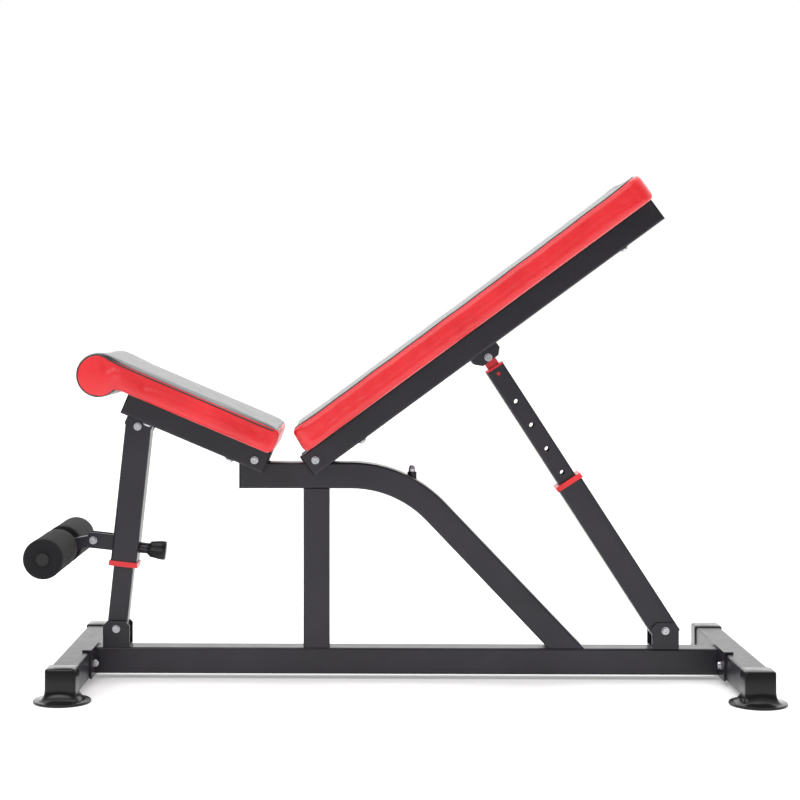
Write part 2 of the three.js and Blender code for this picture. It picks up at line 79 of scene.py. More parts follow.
# ---- Driving values -------------------------------------------------------------
MM = 0.001
INCLINE = math.radians(36.3)       # backrest angle at rest
SEAT_TILT = math.radians(22.9)     # seat angle at rest, front high
BACK_PAD = (-2, 798, 24.8, 72.8)   # mm in the backrest's frame: start, end, underside, top
SEAT_REAR = 26.5                   # mm in the seat's frame
SEAT_PAD_Z = (29.3, 78.8)          # underside and top
ROLL = (-324.9, 39.3, 42.5)        # centre x, centre z and radius of the rolled front
PAD_HALF = 150                     # mm, half a pad's width
RAIL_IN, RAIL_OUT = 30.3, 52       # mm, inner and outer faces of the pad rails
RAIL_DEPTH = 45
BACK_RAIL = (-18, 800)             # ends of the rails, each in its own frame
SEAT_RAIL = (-267, 22)
SEAT_RAIL_BOTTOM = -17             # mm in the seat's frame
EDGE = 3.5                         # mm from the seat pad's outer face to its seam
BACK_BORDER = 10                   # mm of red that wraps over the backrest pad's top edge
PANEL_CORNER = 22                  # mm, corner radius of the backrest's black panel
BACK_WEDGE = 4.5                   # mm that the backrest pad thickens towards its head
LEAN = 4.0                         # mm that a pad's end face leans out at its top edge
PUFF_CAP = 1.8                     # mm that the cloth simulation may move a point
PRESSURE = 3.0
SHRINK = 1.5                       # mm that a pad's sides start inside its CAD solid
WELT_R = 1.5                       # mm, radius of the piping
SEAM_STEP = 5                      # mm between points along a seam
SEAM_SLIP = 9                      # mm past which a ray's hit gives way to the nearest point


# ---- Frames ---------------------------------------------------------------------
def pivot_frame(joint, angle):
    """Local frame at a hinge: local X turned counter-clockwise by angle, seen from -Y."""
    place = Matrix.Translation(Vector(JOINTS[joint]["pos_m"]))
    return place @ Matrix.Rotation(-angle, 4, "Y") @ Matrix.Scale(MM, 4)


BACK = pivot_frame("backrest_hinge", INCLINE)
SEAT = pivot_frame("seat_hinge", -SEAT_TILT)


def axis_frame(point, direction):
    """Frame in millimetres at a point, with local Z along direction."""
    turn = Vector((0, 0, 1)).rotation_difference(Vector(direction)).to_matrix().to_4x4()
    return Matrix.Translation(Vector(point)) @ turn @ Matrix.Scale(MM, 4)


# ---- Materials ------------------------------------------------------------------
class Nodes:
    """A small helper that builds one node material."""

    def __init__(self, name):
        self.material = bpy.data.materials.new(name)
        self.material.use_nodes = True
        self.tree = self.material.node_tree
        self.shader = self.tree.nodes["Principled BSDF"]
        self.coordinates = self.add("ShaderNodeTexCoord").outputs["Object"]

    def add(self, kind, **values):
        node = self.tree.nodes.new(kind)
        for key, value in values.items():
            setattr(node, key, value)
        return node

    def link(self, source, target):
        self.tree.links.new(source, target)

    def noise(self, scale, detail=3.0, roughness=0.5, stretch=None):
        node = self.add("ShaderNodeTexNoise")
        node.inputs["Scale"].default_value = scale
        node.inputs["Detail"].default_value = detail
        node.inputs["Roughness"].default_value = roughness
        source = self.coordinates
        if stretch:
            mapping = self.add("ShaderNodeMapping")
            mapping.inputs["Scale"].default_value = stretch
            self.link(source, mapping.inputs["Vector"])
            source = mapping.outputs["Vector"]
        self.link(source, node.inputs["Vector"])
        return node.outputs["Fac"]

    def cells(self, scale, feature="F1"):
        node = self.add("ShaderNodeTexVoronoi", feature=feature)
        node.inputs["Scale"].default_value = scale
        self.link(self.coordinates, node.inputs["Vector"])
        return node.outputs["Distance"]

    def ramp(self, source, stops):
        node = self.add("ShaderNodeValToRGB")
        ramp = node.color_ramp
        ramp.elements[0].position = stops[0][0]
        ramp.elements[0].color = (*stops[0][1], 1)
        ramp.elements[1].position = stops[-1][0]
        ramp.elements[1].color = (*stops[-1][1], 1)
        for position, color in stops[1:-1]:
            ramp.elements.new(position).color = (*color, 1)
        self.link(source, node.inputs["Fac"])
        return node.outputs["Color"]

    def span(self, source, low, high):
        node = self.add("ShaderNodeMapRange")
        node.inputs["To Min"].default_value = low
        node.inputs["To Max"].default_value = high
        self.link(source, node.inputs["Value"])
        return node.outputs["Result"]

    def maths(self, operation, first, second):
        node = self.add("ShaderNodeMath", operation=operation)
        for socket, value in zip(node.inputs, (first, second)):
            if isinstance(value, (int, float)):
                socket.default_value = value
            else:
                self.link(value, socket)
        return node.outputs["Value"]

    def mix(self, factor, first, second):
        node = self.add("ShaderNodeMix", data_type="RGBA")
        self.link(factor, node.inputs["Factor"])
        for name, value in (("A", first), ("B", second)):
            socket = [s for s in node.inputs if s.name == name and s.type == "RGBA"][0]
            if isinstance(value, tuple):
                socket.default_value = (*value, 1)
            else:
                self.link(value, socket)
        return [s for s in node.outputs if s.type == "RGBA"][0]

    def bump(self, layers):
        """Stacks bump layers: (height, strength, distance in metres)."""
        normal = None
        for height, strength, distance in layers:
            node = self.add("ShaderNodeBump")
            node.inputs["Strength"].default_value = strength
            node.inputs["Distance"].default_value = distance
            self.link(height, node.inputs["Height"])
            if normal:
                self.link(normal, node.inputs["Normal"])
            normal = node.outputs["Normal"]
        self.link(normal, self.shader.inputs["Normal"])

    def set(self, **values):
        for key, value in values.items():
            self.shader.inputs[key.replace("_", " ")].default_value = value


def powder_coat():
    """Charcoal powder coat: fine orange peel, faint cloudiness, slightly lighter dust."""
    n = Nodes("powder_coat")
    cloud = n.noise(9, 4)
    color = n.ramp(cloud, [(0.3, (0.015, 0.0132, 0.0185)), (0.7, (0.023, 0.0202, 0.0282))])
    n.link(color, n.shader.inputs["Base Color"])
    n.link(n.span(n.noise(40, 3), 0.26, 0.38), n.shader.inputs["Roughness"])
    n.set(Metallic=0.0, Specular_IOR_Level=0.38)
    n.bump([(n.noise(900, 2), 0.25, 0.0003), (n.noise(220, 2), 0.12, 0.0006)])
    return n.material


def moulded(name, dark, light, roughness, specular=0.5):
    """Injection-moulded plastic with a faint grain."""
    n = Nodes(name)
    n.set(Specular_IOR_Level=specular)
    n.link(n.ramp(n.noise(14, 3), [(0.3, dark), (0.7, light)]), n.shader.inputs["Base Color"])
    n.link(n.span(n.noise(60, 3), roughness - 0.05, roughness + 0.08),
           n.shader.inputs["Roughness"])
    n.bump([(n.noise(1400, 2), 0.15, 0.0002), (n.noise(80, 2), 0.06, 0.0008)])
    return n.material


def zinc_plate():
    """Bright zinc with faint turning marks and a few duller patches."""
    n = Nodes("zinc_plate")
    n.link(n.ramp(n.noise(160, 4), [(0.3, (0.40, 0.40, 0.42)), (0.7, (0.62, 0.63, 0.66))]),
           n.shader.inputs["Base Color"])
    n.link(n.span(n.noise(240, 3), 0.18, 0.38), n.shader.inputs["Roughness"])
    n.set(Metallic=1.0)
    n.bump([(n.noise(1500, 2), 0.1, 0.0001)])
    return n.material


def closed_cell_foam():
    """Dense black foam: soft cells over a slightly uneven skin."""
    n = Nodes("closed_cell_foam")
    n.link(n.ramp(n.noise(260, 4), [(0.3, (0.006, 0.006, 0.007)), (0.75, (0.016, 0.015, 0.018))]),
           n.shader.inputs["Base Color"])
    n.set(Roughness=0.9, Specular_IOR_Level=0.3, Sheen_Weight=0.06, Sheen_Roughness=0.5)
    n.bump([(n.cells(420), 0.5, 0.0009), (n.noise(60, 3), 0.3, 0.0015)])
    return n.material


def plywood():
    """Plywood stained near black, partly its own dark backing and partly painted shade: its edge
    between pad and rail stands in for the shaded gap there. Long grain bands still show in the
    stain.
    """
    n = Nodes("plywood")
    grain = n.noise(30, 5, 0.6, stretch=(1, 14, 14))
    # Near-black stain colours: partly painted shade for the dark gap between pad and rail.
    n.link(n.ramp(grain, [(0.3, (0.010, 0.009, 0.008)), (0.5, (0.020, 0.017, 0.015)),
                          (0.7, (0.034, 0.028, 0.024))]), n.shader.inputs["Base Color"])
    n.set(Roughness=0.75)
    n.bump([(grain, 0.3, 0.0006)])
    return n.material


RED_DARK = (0.64, 0.008, 0.014)
RED_LIGHT = (0.78, 0.018, 0.026)
BLACK_DARK = (0.013, 0.013, 0.015)
BLACK_LIGHT = (0.024, 0.024, 0.027)


def vinyl(name, mask_builder=None):
    """Upholstery vinyl with a fine leather grain. mask_builder gives 1 on the black panel."""
    n = Nodes(name)
    cloud = n.noise(0.012, 3)
    red = n.ramp(cloud, [(0.3, RED_DARK), (0.7, RED_LIGHT)])
    black = n.ramp(cloud, [(0.3, BLACK_DARK), (0.7, BLACK_LIGHT)])
    color = n.mix(mask_builder(n), red, black) if mask_builder else red
    n.link(color, n.shader.inputs["Base Color"])
    n.link(n.span(n.noise(0.03, 3), 0.30, 0.42), n.shader.inputs["Roughness"])
    n.set(Coat_Weight=0.2, Coat_Roughness=0.25)
    n.bump([(n.cells(0.9), 0.35, 0.0004), (n.noise(0.35, 3), 0.25, 0.0005),
            (n.noise(0.02, 2), 0.15, 0.002)])
    return n.material


def back_mask(n):
    """Black on the top panel, inside its rounded rectangle of piping."""
    split = n.add("ShaderNodeSeparateXYZ")
    n.link(n.coordinates, split.inputs["Vector"])
    x, y, z = split.outputs
    x0, x1, _, high = BACK_PAD
    half_length = (x1 - x0) / 2 - BACK_BORDER - PANEL_CORNER
    along = n.maths("SUBTRACT", n.maths("ABSOLUTE", n.maths("SUBTRACT", x, (x0 + x1) / 2), 0),
                    half_length)
    across = n.maths("SUBTRACT", n.maths("ABSOLUTE", y, 0),
                     PAD_HALF - BACK_BORDER - PANEL_CORNER)
    along = n.maths("MAXIMUM", along, 0)
    across = n.maths("MAXIMUM", across, 0)
    squares = n.maths("ADD", n.maths("MULTIPLY", along, along),
                      n.maths("MULTIPLY", across, across))
    inside = n.maths("LESS_THAN", squares, PANEL_CORNER ** 2)
    return n.maths("MULTIPLY", inside, n.maths("GREATER_THAN", z, high - 10))


def seat_mask(n):
    """Black over the top and round the roll, inside the two side seams."""
    split = n.add("ShaderNodeSeparateXYZ")
    n.link(n.coordinates, split.inputs["Vector"])
    x, y, z = split.outputs
    inside = n.maths("LESS_THAN", n.maths("ABSOLUTE", y, 0), PAD_HALF - EDGE)
    top = n.maths("GREATER_THAN", z, SEAT_PAD_Z[1] - EDGE)
    roll = n.maths("LESS_THAN", x, ROLL[0])
    under = n.maths("LESS_THAN", z, SEAT_PAD_Z[0] - 2)
    shape = n.maths("MAXIMUM", n.maths("MAXIMUM", top, roll), under)
    return n.maths("MULTIPLY", inside, shape)


PAINT = powder_coat()
BLACK = moulded("black_moulding", (0.006, 0.006, 0.007), (0.011, 0.011, 0.012), 0.17, 0.28)
RED = moulded("red_moulding", (0.62, 0.012, 0.018), (0.80, 0.022, 0.030), 0.30)
ZINC = zinc_plate()
FOAM = closed_cell_foam()
# Near-black plywood: partly painted shade for the gap between pad and rail.
DARK_WOOD_AND_SHADE = plywood()
BLACK_VINYL = moulded("black_vinyl_welt", BLACK_DARK, BLACK_LIGHT, 0.38)
BY_SLOT = {"frame_paint": PAINT, "black_moulding": BLACK, "red_moulding": RED,
           "zinc": ZINC, "foam": FOAM, "vinyl": BLACK_VINYL, "plywood": DARK_WOOD_AND_SHADE}


def paint_cad_nodes():
    """Gives every CAD node its node-based material, by the record's material slot."""
    for subpart in frame["record"]["subparts"]:
        node = frame["nodes"][subpart["node"]]
        node.data.materials.clear()
        node.data.materials.append(BY_SLOT[subpart["material_slot"]])


# ---- Mesh helpers ---------------------------------------------------------------
def new_object(name, mesh, matrix, material, body, smooth=40):
    """Links a mesh made in matrix's frame, keeps its own axes, and rides it on a body."""
    for polygon in mesh.polygons:
        polygon.use_smooth = True
    obj = bpy.data.objects.new(name, mesh)
    SCENE.collection.objects.link(obj)
    obj.matrix_world = matrix
    mesh.materials.append(material)
    if smooth:
        mesh.set_sharp_from_angle(angle=math.radians(smooth))
    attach(obj, body)
    return obj


def turned_mesh(name, profile, segments=48, radius_at=None):
    """A closed lathe mesh about Z from a list of (radius, z) that starts and ends at 0."""
    bm = bmesh.new()
    rings = []
    for r, z in profile:
        if r == 0:
            rings.append([bm.verts.new((0, 0, z))])
            continue
        ring = []
        for i in range(segments):
            angle = 2 * math.pi * i / segments
            radius = radius_at(angle, r, z) if radius_at else r
            ring.append(bm.verts.new((radius * math.cos(angle), radius * math.sin(angle), z)))
        rings.append(ring)
    for low, high in zip(rings, rings[1:]):
        for i in range(segments):
            j = (i + 1) % segments
            if len(low) == 1:
                bm.faces.new((low[0], high[j], high[i]))
            elif len(high) == 1:
                bm.faces.new((low[i], low[j], high[0]))
            else:
                bm.faces.new((low[i], low[j], high[j], high[i]))
    bmesh.ops.recalc_face_normals(bm, faces=bm.faces)
    mesh = bpy.data.meshes.new(name)
    bm.to_mesh(mesh)
    bm.free()
    return mesh


def box_mesh(name, low, high, bevel=0.0, segments=3):
    """A box between two corners, with rounded edges where bevel isn't 0."""
    bm = bmesh.new()
    bmesh.ops.create_cube(bm, size=1)
    low, high = Vector(low), Vector(high)
    for vert in bm.verts:
        vert.co = Vector((low[i] + (vert.co[i] + 0.5) * (high[i] - low[i]) for i in range(3)))
    if bevel:
        bmesh.ops.bevel(bm, geom=bm.edges[:], offset=bevel, segments=segments,
                        affect="EDGES", profile=0.5)
    bmesh.ops.recalc_face_normals(bm, faces=bm.faces)
    mesh = bpy.data.meshes.new(name)
    bm.to_mesh(mesh)
    bm.free()
    return mesh


def join_solids(name, base, *tools, operation="UNION"):
    """Boolean of meshes in one frame, returned as one mesh."""
    target = bpy.data.objects.new(name, base)
    SCENE.collection.objects.link(target)
    cutters = []
    for i, tool in enumerate(tools):
        cutter = bpy.data.objects.new(f"{name}_tool_{i}", tool)
        SCENE.collection.objects.link(cutter)
        cutters.append(cutter)
        modifier = target.modifiers.new("join", "BOOLEAN")
        modifier.operation = operation
        modifier.solver = "EXACT"
        modifier.object = cutter
    mesh = applied(target)
    for obj in [target, *cutters]:
        bpy.data.objects.remove(obj)
    return mesh


def applied(obj):
    """The mesh of an object with its modifiers applied."""
    bpy.context.view_layer.update()
    graph = bpy.context.evaluated_depsgraph_get()
    return bpy.data.meshes.new_from_object(obj.evaluated_get(graph))


# ---- Bolts ----------------------------------------------------------------------
HEX_FLAT = 5.6        # centre to flat
HEX_ROUND = 6.4       # radius that the corners are turned down to
WASHER_R = 7.5
SHANK_R = 4.0
HEAD_HEIGHT = 6.2     # both heights include the washer
NUT_HEIGHT = 7.0
THREAD_END = 1.6      # thread that shows past the nut
CAD_HEAD = 5.2        # lengths of the CAD bolt outside the parts that it clamps
CAD_NUT = 8.7


def hex_radius(angle, r, z):
    """Cuts a turned shape with a hexagon."""
    inside = (angle % (math.pi / 3)) - math.pi / 6
    return min(r, HEX_FLAT / math.cos(inside))


def bolt_end(length, washer, thread):
    """Profile of a chamfered hexagon: a nut with its thread end, or a head with a recess."""
    hexagon = [(HEX_ROUND, washer), (HEX_ROUND, length - 1.0), (5.4, length)]
    if not thread:
        return hexagon + [(3.2, length), (2.9, length - 0.4), (2.9, length - 3), (0, length - 3)]
    return hexagon + [(SHANK_R, length), (SHANK_R, length + thread),
                      (3.2, length + thread + 0.8), (0, length + thread + 0.8)]


def add_bolt_end(name, point, direction, body, length, thread):
    """A washer with a hexagon head or nut on it."""
    rim = WASHER_R - 0.4
    profile = [(0, 0), (rim, 0), (WASHER_R, 0.4), (WASHER_R, 1.1), (rim, 1.5), (0, 1.5)]
    washer = turned_mesh(name + "_washer", profile, 48)
    head = turned_mesh(name, [(0, 1.2)] + bolt_end(length, 1.2, thread), 72, hex_radius)
    mesh = join_solids(name, washer, head)
    return new_object(name, mesh, axis_frame(point, direction), ZINC, body, 25)


def add_bolts():
    """Dresses each through bolt as a head, a nut and a plain shank."""
    for node in sorted(frame["nodes"]):
        if "bolt" not in node or "lug" in node:
            continue
        low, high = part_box(node)
        body = body_of(frame["nodes"][node])[0]
        axis = 0 if "plate_bolt" in node else 1
        middle = (low + high) / 2
        direction = Vector((0, 0, 0))
        direction[axis] = 1
        start = middle.copy()
        start[axis] = low[axis] + CAD_HEAD * MM
        end = middle.copy()
        end[axis] = high[axis] - CAD_NUT * MM
        head = add_bolt_end(node + "_head", start, -direction, body, HEAD_HEIGHT, 0)
        nut = add_bolt_end(node + "_nut", end, direction, body, NUT_HEIGHT, THREAD_END)
        grip = (end - start)[axis] / MM
        profile = [(0, 0), (SHANK_R, 0), (SHANK_R, grip), (0, grip)]
        shank = new_object(node + "_shank", turned_mesh(node + "_shank", profile, 32),
                           axis_frame(start, direction), ZINC, body)
        for piece in (head, nut, shank):
            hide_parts(node)


def add_lug_bolts():
    """Short bolts from a lug into the rail: shank, washer and recessed hexagon head."""
    for node in sorted(n for n in frame["nodes"] if "lug_bolt" in n):
        low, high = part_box(node)
        body = body_of(frame["nodes"][node])[0]
        side = -1 if "near" in node else 1
        middle = (low + high) / 2
        inner = high[1] if side < 0 else low[1]
        start = Vector((middle.x, inner, middle.z))
        washer = RAIL_IN - abs(inner) / MM + 0.4
        profile = [(0, 0), (SHANK_R - 0.4, 0), (SHANK_R, 0.4), (SHANK_R, washer),
                   (WASHER_R, washer), (WASHER_R, washer + 1.3), (HEX_ROUND, washer + 1.3)]
        profile += [(HEX_ROUND, washer + 5.2), (5.4, washer + 6.2), (3.2, washer + 6.2),
                    (2.9, washer + 5.8), (2.9, washer + 3.2), (0, washer + 3.2)]

        def shaped(angle, r, z, washer=washer):
            return hex_radius(angle, r, z) if z > washer + 1.2 and 3.5 < r < 7 else r

        mesh = turned_mesh(node + "_detail", profile, 72, shaped)
        piece = new_object(node + "_detail", mesh, axis_frame(start, (0, side, 0)), ZINC, body,
                           25)
        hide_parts(node)


# ---- Feet -----------------------------------------------------------------------
FOOT_Y = 0.235               # metres from the middle to a foot's centre
FOOT_HALF = (28, 24)         # sleeve half widths across and along the stabilizer
FILLET_R, FILLET_Z = 49, 26  # outer radius and top of the fillet above the flange
FILLET_LOW = 5


def squircle(angle, inset):
    """A point on the rounded square section of a foot's sleeve."""
    a, b = (half - inset for half in FOOT_HALF)
    c, d = math.cos(angle), math.sin(angle)
    reach = ((abs(c) / a) ** 10 + (abs(d) / b) ** 10) ** -0.1
    return Vector((reach * c, reach * d))


def foot_mesh(name, side, segments=120):
    """A square sleeve that flares through a fillet into a round flange."""
    rings = [(0, 50.6, 0), (1.2, 52, 0), (3.4, 52, 0), (4.6, 51, 0)]
    rings += [(FILLET_Z - (FILLET_Z - FILLET_LOW) * math.cos(angle), FILLET_R, math.sin(angle))
              for angle in (step / 14 * math.pi / 2 for step in range(15))]
    insets = {59: 0, 61: 0.6, 62.3: 1.8, 63: 3.8}
    rings += [(z, FILLET_R, 1) for z in insets]
    bm = bmesh.new()
    loops = []
    for z, radius, square in rings:
        loop = []
        for i in range(segments):
            angle = 2 * math.pi * i / segments
            around = Vector((math.cos(angle), math.sin(angle))) * radius
            corner = squircle(angle, insets.get(z, 0)) + Vector((0, side))
            point = around.lerp(corner, square)
            loop.append(bm.verts.new((point.x, point.y, z)))
        loops.append(loop)
    bm.faces.new(loops[0][::-1])
    bm.faces.new(loops[-1])
    for low, high in zip(loops, loops[1:]):
        for i in range(segments):
            j = (i + 1) % segments
            bm.faces.new((low[i], low[j], high[j], high[i]))
    bmesh.ops.recalc_face_normals(bm, faces=bm.faces)
    mesh = bpy.data.meshes.new(name)
    bm.to_mesh(mesh)
    bm.free()
    return mesh


def add_feet():
    """Moulded end caps, with a pocket for the stabilizer tube."""
    for node in sorted(n for n in frame["nodes"] if "_foot_" in n and "bolt" not in n):
        low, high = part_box(node)
        side = -1 if node.endswith("near") else 1
        centre = Vector(((low.x + high.x) / 2, side * FOOT_Y, 0))
        pocket_ends = sorted((side * -90, side * 21.3))
        pocket = box_mesh(node + "_pocket", (-25.2, pocket_ends[0], 9.8),
                          (25.2, pocket_ends[1], 60.2))
        mesh = join_solids(node + "_cap", foot_mesh(node + "_cap", side), pocket,
                           operation="DIFFERENCE")
        matrix = Matrix.Translation(centre) @ Matrix.Scale(MM, 4)
        piece = new_object(node + "_cap", mesh, matrix, BLACK, "base", 30)
        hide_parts(node)


# ---- Knobs, rollers -------------------------------------------------------------
KNOB_SPAN = (19.3, 77)    # mm from the tube's centre line to the ends of a pull-pin
FLUTES = 10
FLUTE_DEPTH = 0.9
BORE = 8.3                # radius of a roller's bore
WAIST = 0.35              # mm that a roller is slimmer at its middle


def add_knob(node, start, direction, body):
    """A pull-pin with a collar and a fluted knob, along direction from the tube axis."""
    tip, end = KNOB_SPAN
    profile = [(0, tip), (3.4, tip), (4, 20.2), (4, 41.5), (11.2, 41.5), (12, 42.3),
               (12, 44.2), (14.2, 45.4), (15.4, 48), (16.2, 54), (17.6, 62), (18.2, 68),
               (18.2, 73.5), (17.4, 75.6), (15.4, 76.8), (0, end)]

    def fluted(angle, r, z):
        if z < 47 or z > 76 or r < 13:
            return r
        return r - FLUTE_DEPTH + FLUTE_DEPTH * abs(math.cos(angle * FLUTES))

    mesh = turned_mesh(node + "_fluted", profile, 160, fluted)
    piece = new_object(node + "_fluted", mesh, axis_frame(start, direction), BLACK, body,
                       50)
    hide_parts(node)


def add_knobs():
    """The two pull-pins, from the axes of their joints."""
    for node, joint, body in (("strut_knob", "strut_pin_pull", "strut_pin"),
                              ("post_knob", "post_pin_pull", "post_pin")):
        direction = Vector(JOINTS[joint]["axis"]).normalized()
        low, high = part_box(node)
        middle = (low + high) / 2
        start = middle - direction * sum(KNOB_SPAN) / 2 * MM
        add_knob(node, start, direction, body)


def add_rollers():
    """Foam sleeves with soft rounded ends and a slight waist."""
    for side, place in ((-1, "near"), (1, "far")):
        node = f"foam_roller_{place}"
        low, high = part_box(node)
        centre = (low + high) / 2
        half = (high.y - low.y) / 2 / MM
        radius = (high.z - low.z) / 2 / MM
        profile = [(BORE, -half), (radius - 5, -half), (radius - 2.2, 0.9 - half),
                   (radius - 0.6, 2.6 - half), (radius, 5 - half)]
        steps = 14
        for step in range(1, steps):
            z = 5 - half + (2 * half - 10) * step / steps
            profile.append((radius - WAIST * math.sin(math.pi * step / steps), z))
        profile += [(radius, half - 5), (radius - 0.6, half - 2.6), (radius - 2.2, half - 0.9),
                    (radius - 5, half - 0.2), (20, half - 0.6), (BORE, half - 1.2),
                    (BORE, -half)]
        mesh = turned_mesh(node + "_sleeve", profile, 96)
        bm = bmesh.new()
        bm.from_mesh(mesh)
        bmesh.ops.remove_doubles(bm, verts=bm.verts, dist=1e-4)
        bmesh.ops.recalc_face_normals(bm, faces=bm.faces)
        bm.to_mesh(mesh)
        bm.free()
        piece = new_object(node + "_sleeve", mesh, axis_frame(centre, (0, side, 0)), FOAM,
                           f"roller_{place}", 50)
        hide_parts(node)


# ---- Pads -----------------------------------------------------------------------
def extrude_outline(name, outline, low, high, lift):
    """A closed prism from a 2D outline. lift maps (a, b, t) to a point."""
    bm = bmesh.new()
    bottom = [bm.verts.new(lift(a, b, low)) for a, b in outline]
    top = [bm.verts.new(lift(a, b, high)) for a, b in outline]
    bm.faces.new(bottom[::-1])
    bm.faces.new(top)
    count = len(outline)
    for i in range(count):
        j = (i + 1) % count
        bm.faces.new((bottom[i], bottom[j], top[j], top[i]))
    bmesh.ops.recalc_face_normals(bm, faces=bm.faces)
    return bm


def rounded_rectangle(x0, x1, half, radius, steps=10):
    """Outline from x0 to x1 and from -half to half, counter-clockwise."""
    points = []
    for cx, cy, start in ((x1 - radius, half - radius, 0), (x0 + radius, half - radius, 90),
                          (x0 + radius, -half + radius, 180), (x1 - radius, -half + radius, 270)):
        for step in range(steps + 1):
            angle = math.radians(start + 90 * step / steps)
            points.append((cx + radius * math.cos(angle), cy + radius * math.sin(angle)))
    return points


def seat_outline(grow=0.0):
    """Side outline of the seat pad in its XZ plane, from the rear underside, counter-clockwise."""
    cx, cz, radius = ROLL
    r = radius + grow
    low, high = SEAT_PAD_Z
    start = math.asin((low - cz) / r)
    points = [(SEAT_REAR - 6, low), (SEAT_REAR + grow, low + 6), (SEAT_REAR + grow, high - 14)]
    for step in range(1, 6):
        angle = step / 5 * math.pi / 2
        points.append((SEAT_REAR + grow - 14 + 14 * math.cos(angle),
                       high + grow - 14 + 14 * math.sin(angle)))
    points.append((cx + 60, high + grow + 0.8))
    steps = 40
    sweep = 2 * math.pi - math.pi / 2 + start
    for step in range(steps + 1):
        angle = math.pi / 2 + sweep * step / steps
        points.append((cx + r * math.cos(angle), cz + r * math.sin(angle)))
    return points


def bevel_all(bm, keep, offset, segments=4):
    """Rounds the edges for which keep(edge) is true."""
    edges = [e for e in bm.edges if keep(e)]
    bmesh.ops.bevel(bm, geom=edges, offset=offset, segments=segments, affect="EDGES",
                    profile=0.5)


def soft_mesh(name, bm, voxel):
    """Remeshes a prism evenly, and returns an object whose mesh is in millimetres."""
    mesh = bpy.data.meshes.new(name)
    bm.to_mesh(mesh)
    bm.free()
    obj = bpy.data.objects.new(name, mesh)
    SCENE.collection.objects.link(obj)
    remesh = obj.modifiers.new("even", "REMESH")
    remesh.mode = "VOXEL"
    remesh.voxel_size = voxel
    smooth = obj.modifiers.new("relax", "SMOOTH")
    smooth.factor = 0.5
    smooth.iterations = 4
    obj.data = applied(obj)
    obj.modifiers.clear()
    return obj


def puff(obj, fixed, cap, pressure):
    """Inflates a pad with a short cloth simulation. Vertices where fixed() is true stay put."""
    rest = [v.co.copy() for v in obj.data.vertices]
    obj.data.transform(Matrix.Scale(MM, 4))
    group = obj.vertex_groups.new(name="held")
    group.add([i for i, co in enumerate(rest) if fixed(co)], 1.0, "REPLACE")
    cloth = obj.modifiers.new("puff", "CLOTH")
    settings = cloth.settings
    settings.quality = 6
    settings.mass = 0.3
    settings.tension_stiffness = 25
    settings.compression_stiffness = 25
    settings.shear_stiffness = 8
    settings.bending_stiffness = 2.5
    settings.use_pressure = True
    settings.uniform_pressure_force = pressure
    settings.effector_weights.gravity = 0
    settings.vertex_group_mass = "held"
    for number in range(1, 21):
        SCENE.frame_set(number)
    mesh = applied(obj)
    moved = [v.co / MM for v in mesh.vertices]
    obj.modifiers.clear()
    obj.vertex_groups.clear()
    obj.data = mesh
    for vert, was, now in zip(mesh.vertices, rest, moved):
        step = now - was
        if step.length > cap:
            step = step.normalized() * cap
        vert.co = was + step
    SCENE.frame_set(1)


def finish_pad(obj, matrix, material, body, shape):
    """Subdivides once, moves each vertex by shape(), and places the pad."""
    subdivide = obj.modifiers.new("fine", "SUBSURF")
    subdivide.levels = 1
    mesh = applied(obj)
    obj.modifiers.clear()
    name = obj.name
    bpy.data.objects.remove(obj)
    for vert in mesh.vertices:
        vert.co = shape(vert.co)
    return new_object(name, mesh, matrix, material, body, 0)


def seam_path(pad, path, inward, closed=True, reach=25):
    """Moves seam points onto a pad's surface. inward(point) is the direction of a point's ray."""
    tree = BVHTree.FromPolygons([v.co for v in pad.data.vertices],
                                [p.vertices for p in pad.data.polygons])
    points = []
    for point in path:
        direction = inward(point)
        hit = tree.ray_cast(Vector(point) - direction * reach, direction, 2 * reach)[0]
        if hit is None or (hit - Vector(point)).length > SEAM_SLIP:
            hit = tree.find_nearest(Vector(point))[0]
        points.append(hit)
    return smoothed(points, closed)


def smoothed(points, closed=True, rounds=2):
    """Evens out a line of points a little, and keeps the ends of an open one."""
    count = len(points)
    held = () if closed else (0, count - 1)
    for _ in range(rounds):
        points = [points[i] if i in held else
                  (points[i - 1] + points[i] * 2 + points[(i + 1) % count]) / 4
                  for i in range(count)]
    return points


def welt(name, points, radius, matrix, material, body, closed=True, sides=10):
    """A round bead of piping along a line of points."""
    bm = bmesh.new()
    rings = []
    count = len(points)
    up = None
    for i, point in enumerate(points):
        ahead = points[(i + 1) % count] if closed or i + 1 < count else point
        behind = points[i - 1] if closed or i > 0 else point
        tangent = (ahead - behind).normalized()
        if up is None:
            up = tangent.orthogonal().normalized()
        up = (up - tangent * up.dot(tangent)).normalized()
        side = tangent.cross(up)
        turns = [2 * math.pi * k / sides for k in range(sides)]
        rings.append([bm.verts.new(point + (up * math.cos(turn) + side * math.sin(turn)) * radius)
                      for turn in turns])
    pairs = list(zip(rings, rings[1:]))
    if closed:
        # The last ring joins the first one where its vertices lie nearest.
        first, last = rings[0], rings[-1]
        shift = min(range(sides), key=lambda s: (first[s].co - last[0].co).length)
        pairs.append((last, first[shift:] + first[:shift]))
    else:
        bm.faces.new(rings[0][::-1])
        bm.faces.new(rings[-1])
    for low, high in pairs:
        for k in range(sides):
            m = (k + 1) % sides
            bm.faces.new((low[k], low[m], high[m], high[k]))
    bmesh.ops.recalc_face_normals(bm, faces=bm.faces)
    mesh = bpy.data.meshes.new(name)
    bm.to_mesh(mesh)
    bm.free()
    return new_object(name, mesh, matrix, material, body, 0)


def resample(points, spacing, closed=True):
    """Points spaced evenly along a polyline."""
    points = [Vector(p) for p in points]
    line = points + [points[0]] if closed else points
    result = [line[0].copy()]
    left = spacing
    for a, b in zip(line, line[1:]):
        length = (b - a).length
        travelled = 0
        while length - travelled >= left:
            travelled += left
            result.append(a.lerp(b, travelled / length))
            left = spacing
        left -= length - travelled
    if closed and (result[-1] - result[0]).length < spacing * 0.6:
        result.pop()
    return result


